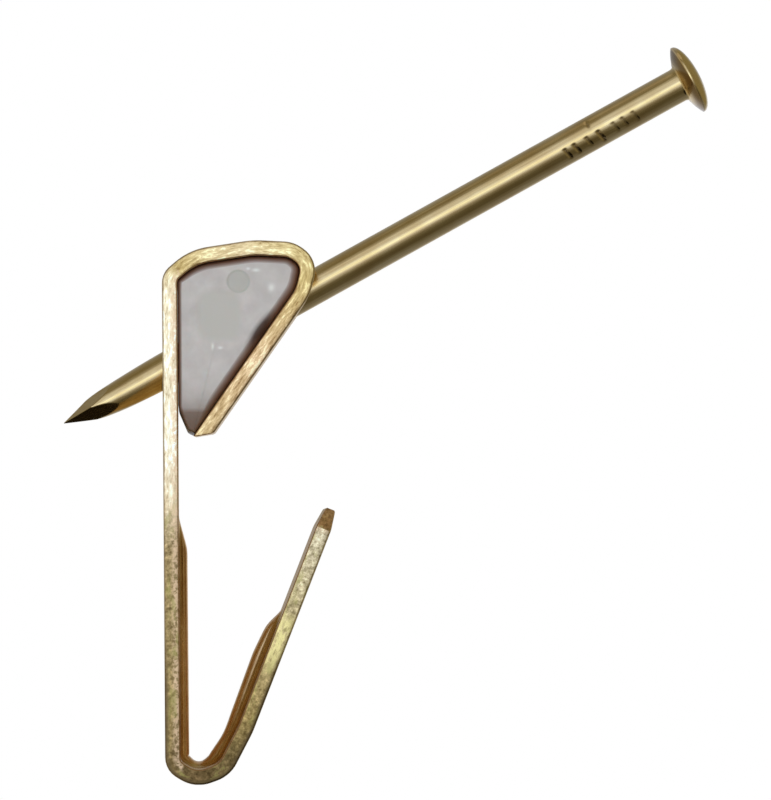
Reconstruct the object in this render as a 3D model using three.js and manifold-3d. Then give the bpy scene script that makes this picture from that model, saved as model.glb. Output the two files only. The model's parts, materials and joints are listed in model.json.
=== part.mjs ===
// Nail-on picture hook: a bent brass-plated strip, a nylon nail guide in its loop, and the nail.
//
// Frame, in millimetres: +X points out from the wall, +Y runs across the strip's width, +Z is up.
// The origin is where the nail's axis crosses the wall plane, which is the strip's back face.

import * as THREE from 'three';
import { mergeVertices } from 'three/addons/utils/BufferGeometryUtils.js';
import Module from 'manifold-3d';

const wasm = await Module();
wasm.setup();

// Driving dimensions.

const stripThickness = 0.79; // 1/32 in sheet
const stripWidth = 9.5; // 3/8 in strip
const nailDiameter = 1.83; // 15 gauge wire
const nailLength = 38.43; // a nominal 1 1/2 in
const nailAngle = 28.7; // above horizontal, in degrees
const nailPastWall = 5.97; // from the wall plane to the nail's point
const headDiameter = 3.92;
const runningClearance = 0.09; // round the nail, in every hole

const halfStrip = stripThickness / 2;
const nailRadius = nailDiameter / 2;
const boreRadius = nailRadius + runningClearance;

// The strip's centreline from the loop's free end to the hook's tip.
// Each corner is [x, z, bend radius], and every bend turns to the left.

const loopFreeEnd = [2.1, -3.47];
const loopBends = [
  [7.36, 3.97, 2.55],
  [7.71, 5.5, 1.01],
  [6.74, 6.18, 1.29],
  [4.78, 6.29, 4.78],
  [1.61, 5.82, 3.0],
  [halfStrip, 4.8, 0.7],
];
const hookBends = [
  [halfStrip, -20.67, 0.81],
  [1.6, -21.41, 1.43],
  [3.1, -20.88, 1.46],
  [4.2, -18.8, 4.48],
];
const hookTip = [8.74, -7.36];

const freeEndSlant = 10; // the loop's end is sheared this much off level, in degrees
const tipTaperLength = 1.05;
const tipThickness = 0.52;
const tipCornerCut = 1.5; // across the strip, at each side of the tip

// Stiffening rib: its crest, seen from the side, as [x, z, bend radius].

const ribCrest = [
  [0.79, -7.76, 0],
  [1.22, -9.34, 0.6],
  [1.24, -21.6, 0.5],
  [3.02, -19.25, 3.5],
  [4.68, -14.8, 1.5],
  [5.4, -13.35, 1.2],
  [6.12, -12.76, 0],
];
const ribSteps = [ // its rounded section, as [width, drop below the crest]
  [1.4, 0],
  [2.3, 0.1],
  [3.2, 0.28],
];
const grooveWidth = 2.2;
const grooveDepth = 0.3;
const grooveRun = 1.8; // length of the groove's run-out at each end

// Nail guide: it follows the inside of the loop all round, down to its nose.

const guideWidth = 8.9;
const guideGap = 0.08; // to the inside of the loop
const guideNoseHeight = -3.4;
const guideNoseRadius = 0.2;
const guideHeel = [halfStrip + guideGap + halfStrip, -2.1, 1.5];
const guideEdge = 0.15; // its moulded edges are rounded by this much

// Nail.

const pointHalfAngle = 14.04; // of each flat facet, in degrees
const pointFlat = 0.05;
const headRimHeight = 37.75; // from the point
const headRimThickness = 0.06;
const headFlare = 0.34;
const flareStart = 1.14; // radius where the fillet under the head ends
const flareFillet = 0.26;
const gripMarks = 7;
const gripPitch = 0.72;
const firstGripMark = 30.0; // from the point
const gripDepth = 0.07;
const gripWidth = 0.16;

const roundSides = 28;
const leastBend = 0.1; // radius left at an inside corner that a wide offset would close up
const arcStep = 14; // degrees of bend for each facet

// Materials.

const brassPlate = new THREE.MeshStandardMaterial({ color: 0xc9ad6b, roughness: 0.32, metalness: 1.0 });
const nailPlate = new THREE.MeshStandardMaterial({ color: 0xb59a5c, roughness: 0.26, metalness: 1.0 });
const nylon = new THREE.MeshStandardMaterial({ color: 0xb8b5b9, roughness: 0.45, metalness: 0.0 });

// Joining and cutting.

function solidOf(geometry) {
  const bare = geometry.index ? geometry.toNonIndexed() : geometry.clone();
  bare.deleteAttribute('normal');
  bare.deleteAttribute('uv');
  const merged = mergeVertices(bare, 1e-5);
  const mesh = new wasm.Mesh({
    numProp: 3,
    vertProperties: new Float32Array(merged.attributes.position.array),
    triVerts: new Uint32Array(merged.index.array),
  });
  return new wasm.Manifold(mesh);
}

function geometryOf(solid) {
  const mesh = solid.getMesh();
  const geometry = new THREE.BufferGeometry();
  geometry.setAttribute('position', new THREE.BufferAttribute(new Float32Array(mesh.vertProperties), 3));
  geometry.setIndex(new THREE.BufferAttribute(new Uint32Array(mesh.triVerts), 1));
  geometry.computeVertexNormals();
  return geometry;
}

// Outlines in the side plane, where a point is a Vector2 of x and z.

const point = (x, z) => new THREE.Vector2(x, z); // an [x, z, radius] corner is spread into it
const leftOf = (direction) => point(-direction.y, direction.x);

// Moves an open run of corners sideways by `distance` to the left, keeping each bend concentric.
function offsetRun(corners, distance) {
  const headings = corners.slice(1).map((next, i) => point(...next).sub(point(...corners[i])).normalize());
  return corners.map(([x, z, radius = 0], i) => {
    const before = headings[Math.max(i - 1, 0)];
    const after = headings[Math.min(i, headings.length - 1)];
    const n1 = leftOf(before);
    const n2 = leftOf(after);
    const mitre = n1.clone().add(n2).multiplyScalar(distance / (1 + n1.dot(n2)));
    const turnsLeft = before.cross(after) >= 0 ? 1 : -1;
    return [x + mitre.x, z + mitre.y, Math.max(radius - turnsLeft * distance, leastBend)];
  });
}

// Turns a run of corners into points: straight stretches, and an arc of its radius at each corner.
function roundedPoints(corners, closed = false) {
  const count = corners.length;
  const points = [];
  corners.forEach(([x, z, radius = 0], i) => {
    const here = point(x, z);
    const isEnd = !closed && (i === 0 || i === count - 1);
    if (isEnd || radius === 0) {
      points.push(here);
      return;
    }
    const before = here.clone().sub(point(...corners[(i + count - 1) % count])).normalize();
    const after = point(...corners[(i + 1) % count]).sub(here).normalize();
    const turn = Math.atan2(before.cross(after), before.dot(after));
    const reach = radius * Math.tan(Math.abs(turn) / 2);
    const start = here.clone().addScaledVector(before, -reach);
    const side = leftOf(before).multiplyScalar(Math.sign(turn) * radius);
    const centre = start.clone().add(side);
    const steps = Math.max(1, Math.round(Math.abs(THREE.MathUtils.radToDeg(turn)) / arcStep));
    for (let k = 0; k <= steps; k += 1) {
      points.push(start.clone().rotateAround(centre, (turn * k) / steps));
    }
  });
  return points;
}

// Extrudes a side outline across the strip's width, centred on Y = 0.
function acrossStrip(outline, width, options = {}) {
  const shape = new THREE.Shape(outline);
  const bevel = options.bevelThickness ?? 0;
  const geometry = new THREE.ExtrudeGeometry(shape, {
    depth: width - 2 * bevel,
    bevelEnabled: bevel > 0,
    ...options,
  });
  geometry.translate(0, 0, bevel - width / 2);
  geometry.rotateX(Math.PI / 2);
  return geometry;
}

// Where the straight line from `from` towards `to` reaches the height z.
function atHeight(from, to, z) {
  const share = (z - from[1]) / (to[1] - from[1]);
  return [from[0] + share * (to[0] - from[0]), z];
}

// The nail's own frame: +Z along its axis from the point to the head.

const nailTilt = THREE.MathUtils.degToRad(90 - nailAngle);
const outAlongNail = new THREE.Vector3(Math.sin(nailTilt), 0, Math.cos(nailTilt));
const nailPoint = outAlongNail.clone().multiplyScalar(-nailPastWall);

function nailHole() {
  const length = nailLength;
  const hole = new THREE.CylinderGeometry(boreRadius, boreRadius, length, roundSides);
  hole.rotateX(Math.PI / 2);
  hole.translate(0, 0, length / 2);
  hole.rotateY(nailTilt);
  hole.translate(nailPoint.x, nailPoint.y, nailPoint.z);
  return solidOf(hole);
}

// The strip as one side outline: its outer face down, its inner face back up.
function stripOutline() {
  const centreline = [loopFreeEnd, ...loopBends, ...hookBends, hookTip];
  const outer = offsetRun(centreline, -halfStrip);
  const inner = offsetRun(centreline, halfStrip);

  const slant = Math.tan(THREE.MathUtils.degToRad(freeEndSlant)) * halfStrip;
  outer[0] = atHeight(outer[0], outer[1], loopFreeEnd[1] + 0.11 + slant);
  inner[0] = atHeight(inner[0], inner[1], loopFreeEnd[1] + 0.09 - slant);

  const tip = point(...hookTip);
  const along = tip.clone().sub(point(...hookBends.at(-1))).normalize();
  const taperStart = tip.clone().addScaledVector(along, -tipTaperLength);
  const atTip = (from, side, half) => from.clone().addScaledVector(leftOf(along), side * half).toArray();
  outer.splice(-1, 1, atTip(taperStart, -1, halfStrip), atTip(tip, -1, tipThickness / 2));
  inner.splice(-1, 1, atTip(taperStart, 1, halfStrip), atTip(tip, 1, tipThickness / 2));
  const sharp = (run) => run.map((corner, i) => (i === run.length - 2 ? corner.slice(0, 2) : corner));
  return [...roundedPoints(sharp(outer)), ...roundedPoints(sharp(inner)).reverse()];
}

// The rib, down to the strip's centreline so that it joins the strip.
function rib() {
  const root = roundedPoints([
    [halfStrip, ribCrest[0][1]],
    ...hookBends,
    atHeight(hookBends.at(-1), hookTip, ribCrest.at(-1)[1]),
  ]);
  const steps = ribSteps.map(([width, drop]) => {
    const crest = roundedPoints(offsetRun(ribCrest, -drop));
    return solidOf(acrossStrip([...root, ...crest.reverse()], width));
  });
  return steps.reduce((whole, step) => whole.add(step));
}

// The groove that the pressed rib leaves in the strip's outer face.
function groove() {
  const run = [
    [halfStrip, ribCrest[1][1]],
    ...hookBends,
    atHeight(hookBends.at(-1), hookTip, ribCrest.at(-2)[1]),
  ];
  const floor = offsetRun(run, -(halfStrip - grooveDepth));
  const outside = offsetRun(run, -(halfStrip + grooveDepth));
  outside[0][1] += grooveRun;
  outside.push(atHeight(outside.at(-2), outside.at(-1), outside.at(-1)[1] + grooveRun));
  outside.splice(-2, 1);
  return solidOf(acrossStrip([...roundedPoints(floor), ...roundedPoints(outside).reverse()], grooveWidth));
}

// A wedge that clips one corner of the hook's tip; side is -1 or 1.
function tipCorner(side) {
  const tip = point(...hookTip);
  const along = tip.clone().sub(point(...hookBends.at(-1))).normalize();
  const edge = (side * stripWidth) / 2;
  const wedge = new THREE.Shape([
    point(edge - side * tipCornerCut, 0),
    point(edge - side * tipCornerCut, 1),
    point(edge + side, 1),
    point(edge + side, -tipTaperLength * (1 + 1 / tipCornerCut)),
  ]);
  const geometry = new THREE.ExtrudeGeometry(wedge, { depth: 4, bevelEnabled: false });
  const across = new THREE.Vector3(0, 1, 0);
  const up = new THREE.Vector3(along.x, 0, along.y);
  const through = new THREE.Vector3().crossVectors(across, up);
  const frame = new THREE.Matrix4().makeBasis(across, up, through);
  frame.setPosition(tip.x - 2 * through.x, 0, tip.y - 2 * through.z);
  geometry.applyMatrix4(frame);
  return solidOf(geometry);
}

function hookStrap() {
  const solid = solidOf(acrossStrip(stripOutline(), stripWidth))
    .add(rib())
    .subtract(groove())
    .subtract(tipCorner(-1))
    .subtract(tipCorner(1))
    .subtract(nailHole());
  return new THREE.Mesh(geometryOf(solid), brassPlate);
}

function guideOutline() {
  const run = [loopFreeEnd, ...loopBends, hookBends[0]];
  const [end, ...snug] = offsetRun(run, halfStrip + guideGap).slice(0, -1);
  const nose = [...atHeight(end, snug[0], guideNoseHeight), guideNoseRadius];
  return roundedPoints([nose, ...snug, guideHeel], true);
}

function nailGuide() {
  const body = acrossStrip(guideOutline(), guideWidth, {
    bevelThickness: guideEdge,
    bevelSize: guideEdge,
    bevelOffset: -guideEdge,
    bevelSegments: 2,
  });
  return new THREE.Mesh(geometryOf(solidOf(body).subtract(nailHole())), nylon);
}

// The nail as turned, before its point is pinched: [radius, height above the point].
function turnedNail() {
  const domeHeight = nailLength - headRimHeight - headRimThickness;
  const rimRadius = headDiameter / 2;
  const underRim = headRimHeight - headFlare;

  const profile = new THREE.Path();
  profile.moveTo(0, 0);
  profile.lineTo(0.25, 0);
  profile.lineTo(0.49, 1.2);
  profile.quadraticCurveTo(0.85, 2.45, nailRadius, 6.2);
  profile.lineTo(nailRadius, underRim - flareFillet);
  profile.quadraticCurveTo(nailRadius, underRim, flareStart, underRim);
  profile.lineTo(rimRadius - 0.03, headRimHeight);
  profile.lineTo(rimRadius, headRimHeight + 0.03);
  profile.lineTo(rimRadius, headRimHeight + headRimThickness);
  profile.absellipse(0, nailLength - domeHeight, rimRadius, domeHeight, 0, Math.PI / 2, false);
  const points = profile.getPoints(5);
  points.at(-1).x = 0;
  const geometry = new THREE.LatheGeometry(points, roundSides);
  geometry.rotateX(Math.PI / 2);
  return geometry;
}

// Four flat facets that meet just short of the point's end.
function pointPyramid() {
  const height = 60;
  const cornerRadius = height * Math.tan(THREE.MathUtils.degToRad(pointHalfAngle)) * Math.SQRT2;
  const pyramid = new THREE.ConeGeometry(cornerRadius, height, 4);
  pyramid.rotateX(-Math.PI / 2);
  pyramid.translate(0, 0, height / 2 - pointFlat);
  return pyramid;
}

// One shallow nick across the shank's near side.
function gripMark(height) {
  const nick = new THREE.BoxGeometry(1, 1, gripWidth);
  nick.translate(nailRadius - gripDepth + 0.5, 0, height);
  nick.rotateZ(THREE.MathUtils.degToRad(-58));
  return solidOf(nick);
}

function nail() {
  let solid = solidOf(turnedNail()).intersect(solidOf(pointPyramid()));
  for (let i = 0; i < gripMarks; i += 1) {
    solid = solid.subtract(gripMark(firstGripMark + i * gripPitch));
  }
  const mesh = new THREE.Mesh(geometryOf(solid), nailPlate);
  mesh.rotation.y = nailTilt;
  mesh.position.copy(nailPoint);
  return mesh;
}

const pictureHook = new THREE.Group();
const pieces = { hook_strap: hookStrap(), nail_guide: nailGuide(), nail: nail() };
for (const [name, mesh] of Object.entries(pieces)) {
  mesh.name = name;
  pictureHook.add(mesh);
}

export default pictureHook;
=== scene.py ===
# %% [markdown]
# # A nail-on picture hook
#
# Three pieces make this hook: a bent strip of brass-plated steel, a grey nylon wedge that the
# strip's loop grips, and a slanted brass-plated nail that slides through both. The packed model
# already holds their true sizes and places. This lesson rebuilds each piece as a fine mesh in
# the same frame: +X points out from the wall, +Y runs across the strip and +Z is up. The origin
# is where the nail's axis crosses the wall.

# %% Load the packed model
import json
import math

import bmesh
import bpy
import numpy as np
from mathutils import Matrix, Vector, noise


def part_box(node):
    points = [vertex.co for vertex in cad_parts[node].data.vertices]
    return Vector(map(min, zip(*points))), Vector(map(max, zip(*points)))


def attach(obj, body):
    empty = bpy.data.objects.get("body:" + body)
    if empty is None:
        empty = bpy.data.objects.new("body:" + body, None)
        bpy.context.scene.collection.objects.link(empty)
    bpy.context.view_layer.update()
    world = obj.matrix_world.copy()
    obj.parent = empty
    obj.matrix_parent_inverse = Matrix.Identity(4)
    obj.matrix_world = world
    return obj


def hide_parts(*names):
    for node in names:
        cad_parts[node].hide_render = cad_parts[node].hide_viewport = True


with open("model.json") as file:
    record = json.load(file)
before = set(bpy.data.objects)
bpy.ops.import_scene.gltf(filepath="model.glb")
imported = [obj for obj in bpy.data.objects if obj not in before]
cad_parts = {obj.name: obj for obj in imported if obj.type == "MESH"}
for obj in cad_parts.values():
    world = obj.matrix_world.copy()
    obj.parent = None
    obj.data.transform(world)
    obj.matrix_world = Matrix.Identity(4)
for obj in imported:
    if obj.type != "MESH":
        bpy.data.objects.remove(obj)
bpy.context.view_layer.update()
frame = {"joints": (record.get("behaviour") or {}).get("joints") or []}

# %% [markdown]
# ## Measures from the frame
#
# Lengths are easiest to read in millimetres for something this small, so the shapes are worked
# out in millimetres and every mesh is scaled to metres as it is made. The strip's width and the
# nail's direction are read from the frame, so they can't drift away from the packed model.

# %% Measures
MM = 0.001
strap_low, strap_high = (1000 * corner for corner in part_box("hook_strap"))
guide_high = 1000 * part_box("nail_guide")[1]

strip_thickness = 0.79
half_thickness = strip_thickness / 2
half_width = strap_high.y
guide_half_width = guide_high.y

slide = frame["joints"][0]
along_nail = -Vector(slide["axis"]).normalized()
toward_viewer = Vector((0, -1, 0))
above_nail = toward_viewer.cross(along_nail)
print("half width of strip and guide:", round(half_width, 3), round(guide_half_width, 3))

# %% [markdown]
# ## Bent lines
#
# A bend in sheet metal is an arc between two straight stretches. A list of corners with a bend
# radius each is the way a press-brake drawing gives such a line, so it is kept in that form, and
# one helper turns it into points. Bezier handles could draw the same line, but never with a true
# arc. Another helper spaces the points evenly, which gives tidy quads.

# %% Bent lines in the side plane
def unit(vector):
    return vector / np.linalg.norm(vector)


def turned_left(vector):
    return np.array([-vector[1], vector[0]])


def bent_line(corners, closed=False, step_degrees=3.0):
    """Points along a run of [x, z, radius] corners, with an arc at each one."""
    count = len(corners)
    points = []
    for i, (x, z, radius) in enumerate(corners):
        here = np.array([x, z])
        if radius == 0 or (not closed and i in (0, count - 1)):
            points.append(here)
            continue
        before = unit(here - np.array(corners[i - 1][:2]))
        after = unit(np.array(corners[(i + 1) % count][:2]) - here)
        turn = math.atan2(before[0] * after[1] - before[1] * after[0], before @ after)
        arm = -turned_left(before) * math.copysign(radius, turn)
        centre = here - before * radius * math.tan(abs(turn) / 2) - arm
        steps = max(2, round(math.degrees(abs(turn)) / step_degrees))
        for angle in np.linspace(0, turn, steps + 1):
            cosine, sine = math.cos(angle), math.sin(angle)
            points.append(centre + arm * cosine + turned_left(arm) * sine)
    return np.array(points)


def evenly_spaced(points, spacing):
    """The same line with its points about `spacing` apart, and each point's distance along it."""
    steps = np.linalg.norm(np.diff(points, axis=0), axis=1)
    distance = np.concatenate([[0], np.cumsum(steps)])
    wanted = np.linspace(0, distance[-1], max(2, round(distance[-1] / spacing)) + 1)
    columns = [np.interp(wanted, distance, points[:, k]) for k in range(2)]
    return np.stack(columns, axis=1), wanted


def smooth_step(value, low, high):
    share = np.clip((value - low) / (high - low), 0, 1)
    return share * share * (3 - 2 * share)


square_bend = bent_line([[0, 0, 0], [5, 0, 2], [5, 5, 0]])
print("a square bend of 2 mm radius takes", len(square_bend), "points")

# %% [markdown]
# ## From rows of points to a mesh
#
# All three pieces are skins over rings of points: the strip's section swept along its bends, the
# guide's outline stepped inwards, and the nail's circle at each height. One helper joins
# neighbouring rings with quads and closes the two ends, so every piece is one watertight body. A
# bevelled curve or a screw modifier would be quicker for a plain strip or nail, but neither lets
# the section change along the way.

# %% Skins over rings
def skin(name, rings):
    """A closed mesh over rings of points in millimetres. A ring of one point closes to a tip."""
    mesh = bmesh.new()
    rows = [[mesh.verts.new(Vector(point) * MM) for point in ring] for ring in rings]
    for row, following in zip(rows, rows[1:]):
        count = max(len(row), len(following))
        for k in range(count):
            corners = [row[k % len(row)], row[(k + 1) % len(row)]]
            corners += [following[(k + 1) % len(following)], following[k % len(following)]]
            mesh.faces.new(list(dict.fromkeys(corners)))
    for row in (rows[0], rows[-1]):
        if len(row) > 1:
            mesh.faces.new(row)
    bmesh.ops.recalc_face_normals(mesh, faces=mesh.faces)
    data = bpy.data.meshes.new(name)
    mesh.to_mesh(data)
    mesh.free()
    piece = bpy.data.objects.new(name, data)
    bpy.context.scene.collection.objects.link(piece)
    return piece


def cut_away(piece, cutter):
    """Takes the cutter's volume out of the piece, and removes the cutter."""
    cut = piece.modifiers.new("cut", "BOOLEAN")
    cut.operation = "DIFFERENCE"
    cut.solver = "EXACT"
    cut.object = cutter
    bpy.context.view_layer.update()
    final = piece.evaluated_get(bpy.context.evaluated_depsgraph_get())
    data = bpy.data.meshes.new_from_object(final)
    piece.modifiers.remove(cut)
    piece.data = data
    bpy.data.objects.remove(cutter)


def shade(piece, crease_degrees):
    """Smooth shading, with a hard edge wherever two faces meet at more than that angle."""
    data = piece.data
    data.polygons.foreach_set("use_smooth", [True] * len(data.polygons))
    data.set_sharp_from_angle(angle=math.radians(crease_degrees))
    print(piece.name, "has", len(data.polygons), "faces")


# %% [markdown]
# ## The strap's line
#
# The strap is one strip, so its whole shape follows from its centreline. It starts at the free
# end of the loop, climbs the sloped leg, crosses the top, runs down the wall side and round the
# J to the tip. Drawing its two faces as separate outlines would let the thickness drift. The bends
# are the same ones that the packed model has.

# %% Centreline of the strap
free_end = [2.10, -3.47, 0]
loop_bends = [
    [7.36, 3.97, 2.55],
    [7.71, 5.5, 1.01],
    [6.74, 6.18, 1.29],
    [4.78, 6.29, 4.78],
    [1.61, 5.82, 3.0],
    [half_thickness, 4.8, 0.7],
]
hook_bends = [
    [half_thickness, -20.67, 0.81],
    [1.6, -21.41, 1.43],
    [3.1, -20.88, 1.46],
    [4.2, -18.8, 4.48],
]
hook_tip = [8.74, -7.36, 0]

station_spacing = 0.16
strap_line, strap_distance = evenly_spaced(
    bent_line([free_end, *loop_bends, *hook_bends, hook_tip]), station_spacing
)
strap_heading = np.gradient(strap_line, axis=0)
strap_heading /= np.linalg.norm(strap_heading, axis=1, keepdims=True)
strap_inward = np.stack([-strap_heading[:, 1], strap_heading[:, 0]], axis=1)
strip_length = strap_distance[-1]
print("length of the flat strip:", round(strip_length, 2), "mm at", len(strap_line), "stations")

# %% [markdown]
# ## The pressed rib
#
# A blade-shaped punch pushed the middle of the strip inwards along the J, which stiffens it. The
# rib's height isn't even: it ramps up below the loop, is low where the strip turns, is highest on
# the front leg, and runs out in a slope. A displacement texture would need far more points for a
# step this sharp. Instead the crest is another bent line, and its distance from the centreline
# gives the height at every station.

# %% Height of the rib at each station
rib_crest = [
    [0.79, -7.76, 0],
    [1.23, -9.35, 0.5],
    [1.26, -21.6, 0.5],
    [3.02, -19.25, 3.5],
    [4.68, -14.8, 1.5],
    [5.4, -13.35, 1.2],
    [6.12, -12.76, 0],
]
crest_points, _ = evenly_spaced(bent_line(rib_crest), station_spacing)
gaps = np.linalg.norm(crest_points[:, None] - strap_line[None], axis=2)
crest_station = gaps.argmin(axis=1)
crest_height = np.maximum(gaps.min(axis=1) - half_thickness, 0)
along_crest = np.maximum.accumulate(strap_distance[crest_station])
rib_height = np.interp(strap_distance, along_crest, crest_height, left=0, right=0)
softening = np.array([1, 2, 3, 2, 1]) / 9
rib_height = np.convolve(rib_height, softening, mode="same")
print("rib height, mm: up to", round(rib_height.max(), 2))

# %% [markdown]
# ## The strap's section
#
# The strip was sheared from sheet. Shearing rolls the corner on the side where the blade enters
# and leaves a smaller, sharper corner on the other, so the section has a large radius outside and
# a small one inside. The rib bows both faces, the outer one a little less, and that leaves the
# groove behind it. A bevel modifier would round all four corners alike, so the section is worked
# out point by point, as (across, through), with rows close together at the rib's foot.

# %% One section of the strip
outer_roll = 0.11
inner_roll = 0.08
rib_from_middle = [0, 0.65, 0.9, 1.1, 1.19, 1.21, 1.24, 1.3, 1.45, 1.62]
rib_share = [1, 1, 0.95, 0.8, 0.64, 0.52, 0.44, 0.3, 0.1, 0]
groove_floor = 0.3
groove_foot = 1.25
groove_share = 0.72
half_rows = [0.25, 0.5, 0.7, 0.85, 0.95, 1.03, 1.1, 1.15, 1.19, 1.21, 1.24, 1.3, 1.37, 1.45]
half_rows += [1.53, 1.62, 1.8, 2.1, 2.7, 3.4, 4.05]
face_rows = np.array([-row for row in reversed(half_rows)] + [0] + half_rows)


def rolled_corner(radius, half_wide, half_thick, side, steps=4):
    """Points round one long corner; side is -1 for the outer face and 1 for the inner one."""
    angles = np.linspace(0, math.pi / 2, steps + 1)
    across = half_wide - radius + radius * np.sin(angles)
    through = side * (half_thick - radius + radius * np.cos(angles))
    return list(zip(across, through))


def strip_section(half_wide, half_thick, rib):
    """Points (across, through) round the section, from the outer face by way of the far edge."""
    scale = half_wide / half_width
    bow = np.interp(np.abs(face_rows), rib_from_middle, rib_share)
    dent = 1 - smooth_step(np.abs(face_rows), groove_floor, groove_foot)
    outer = list(zip(face_rows * scale, -half_thick + rib * groove_share * dent))
    inner = list(zip(face_rows * scale, half_thick + rib * bow))
    far_outer = rolled_corner(outer_roll, half_wide, half_thick, -1)
    far_inner = rolled_corner(inner_roll, half_wide, half_thick, 1)
    middle = [(half_wide, share * half_thick) for share in (-0.3, 0.1, 0.5)]
    far = far_outer + middle + far_inner[::-1]
    near = [(-across, through) for across, through in reversed(far)]
    return outer + far + inner[::-1] + near


print("points round one section:", len(strip_section(half_width, half_thickness, 0)))

# %% [markdown]
# ## Ends of the strip
#
# The loop's free end was sheared at a slant, and the hook's tip was coined thinner with its two
# corners clipped, so that a picture's wire slips over it. Near each end the section changes from
# station to station: it fans round to the slant at one end, and narrows and thins at the other.
# Cutting blocks off a finished strip would leave long thin triangles there.

# %% Rings of the strap
tip_taper = 1.05
tip_half_thickness = 0.26
tip_corner_cut = 1.5
slant_per_mm = 0.975
shear_skew = 0.17
slant_reach = 1.3
edge_wander = 0.012
wander_per_mm = 1.7
wander_through = 4
wander_apart = 5
hair = 0.001  # keeps the lowest points just inside the packed model's box


def strap_ring(i, inset=0.0):
    """Points of the section at station i, drawn in by `inset` for a softened end."""
    to_tip = strip_length - strap_distance[i]
    narrowing = 1 - min(to_tip / tip_taper, 1)
    half_wide = half_width - tip_corner_cut * narrowing - inset
    half_thick = half_thickness + (tip_half_thickness - half_thickness) * narrowing - inset
    fan = 1 - smooth_step(strap_distance[i], 0, slant_reach)
    ring = []
    for across, through in strip_section(half_wide, half_thick, rib_height[i]):
        on_edge = abs(across) > half_wide - outer_roll
        if on_edge:
            place = Vector((
                strap_distance[i] * wander_per_mm,
                through * wander_through,
                math.copysign(wander_apart, across),
            ))
            across -= math.copysign(edge_wander * (0.5 + 0.5 * noise.noise(place)), across)
        spot = strap_line[i] + strap_inward[i] * through
        skew = shear_skew * (across + half_width) / (2 * half_width)
        spot = spot + strap_heading[i] * (skew - through * slant_per_mm) * fan
        ring.append((spot[0], across, max(spot[1], strap_low.z + hair)))
    return ring


print("ends of the strip:", strap_line[0].round(2), strap_line[-1].round(2))

# %% [markdown]
# The two ends aren't knife-edged, because plating softens every corner. A bevel modifier would
# round the other edges too, so the rounding is built in. At each end the last full ring steps
# back a little, and a slightly smaller ring takes its place at the very end.

# %% Skin the strap
end_round = 0.06
rings = [strap_ring(i) for i in range(len(strap_line))]
first = strap_ring(0, end_round)
last = strap_ring(len(strap_line) - 1, end_round)
for end, step_back in ((0, end_round), (-1, -end_round)):
    shift = np.array([strap_heading[end][0], 0, strap_heading[end][1]]) * step_back
    rings[end] = [tuple(np.add(point, shift)) for point in rings[end]]
strap = skin("strap", [first, *rings, last])
print("rings along the strap:", len(rings) + 2)

# %% [markdown]
# ## The nail's holes
#
# The nail passes through the wall side of the loop, through the guide and out of the sloped leg.
# Each hole is bored on the nail's own axis with a hair of clearance, so the nail can slide without
# touching. Holes could be left out of the grid of quads, but a slanted bore has an oval rim that
# no grid follows. So a rod of the bore's size cuts them.

# %% Bore the nail's holes
nail_radius = 0.915
running_clearance = 0.09
bore_sides = 64
bore_start = -4
bore_end = 14


def place_on_nail(height, radius, angle):
    """A point beside the nail's axis: angle 0 faces the viewer, and a quarter turn on is above."""
    out = toward_viewer * math.cos(angle) + above_nail * math.sin(angle)
    return along_nail * height + out * radius


def bore_rod():
    radius = nail_radius + running_clearance
    angles = np.linspace(0, 2 * math.pi, bore_sides, endpoint=False)
    rims = [[place_on_nail(height, radius, a) for a in angles] for height in (bore_start, bore_end)]
    return skin("bore", rims)


cut_away(strap, bore_rod())
shade(strap, crease_degrees=32)

# %% [markdown]
# The strip's grain and wear follow the strip, not the room. So every point of the strap keeps how
# far along the flat strip it lies and how deep through its thickness. A UV map could hold both,
# but attributes can be filled from a formula and have a name. The finishes read them.

# %% Keep each point's place on the flat strip
def store(piece, name, values):
    kept = piece.data.attributes.new(name, "FLOAT", "POINT")
    kept.data.foreach_set("value", np.asarray(values, dtype=np.float32))
    print(name, "runs from", round(float(min(values)), 2), "to", round(float(max(values)), 2))


strap_spots = np.array([(v.co.x, v.co.z) for v in strap.data.vertices]) / MM
nearest = np.linalg.norm(strap_spots[:, None] - strap_line[None], axis=2).argmin(axis=1)
from_line = strap_spots - strap_line[nearest]
ahead = (from_line * strap_heading[nearest]).sum(axis=1)
store(strap, "along_strip", strap_distance[nearest] + ahead)
store(strap, "through_strip", (from_line * strap_inward[nearest]).sum(axis=1) / half_thickness)

# %% [markdown]
# ## The nail guide
#
# The guide is a small nylon moulding, a wedge with rounded edges. Its end face has a shallow
# sunken panel and the round mark of an ejector pin. The outline steps inwards ring by ring, like
# contour lines, so that the face has enough points to sink the panel and the mark smoothly.

# %% Outline of the guide
def inside_of(corners, gap):
    """The run of corners moved to its inner side, with each bend tightened to match."""
    moved = []
    for before, (x, z, radius), after in zip(corners, corners[1:], corners[2:]):
        here = np.array([x, z])
        one = turned_left(unit(here - np.array(before[:2])))
        other = turned_left(unit(np.array(after[:2]) - here))
        spot = here + (one + other) * gap / (1 + one @ other)
        moved.append([spot[0], spot[1], radius - gap])
    return moved


guide_gap = 0.025
nose_height = -3.36
nose_radius = 0.08
wall_foot = [strip_thickness + guide_gap, -2.05, 0.9]
nose_corner = [1.3, -3.2, 0.3]
front, *top = inside_of([free_end, *loop_bends, hook_bends[0]], half_thickness + guide_gap)
leg = unit(np.array(loop_bends[0][:2]) - np.array(free_end[:2]))
nose_x = front[0] + (nose_height - front[1]) * leg[0] / leg[1]
guide_outline = [[nose_x, nose_height, nose_radius], front, *top, wall_foot, nose_corner]
guide_spacing = 0.1
guide_edge = bent_line(guide_outline, closed=True)
guide_edge, _ = evenly_spaced(np.vstack([guide_edge, guide_edge[:1]]), guide_spacing)
guide_edge = guide_edge[:-1]
guide_middle = np.array([3.2, 2.9])
print("guide outline has", len(guide_edge), "points")

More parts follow.
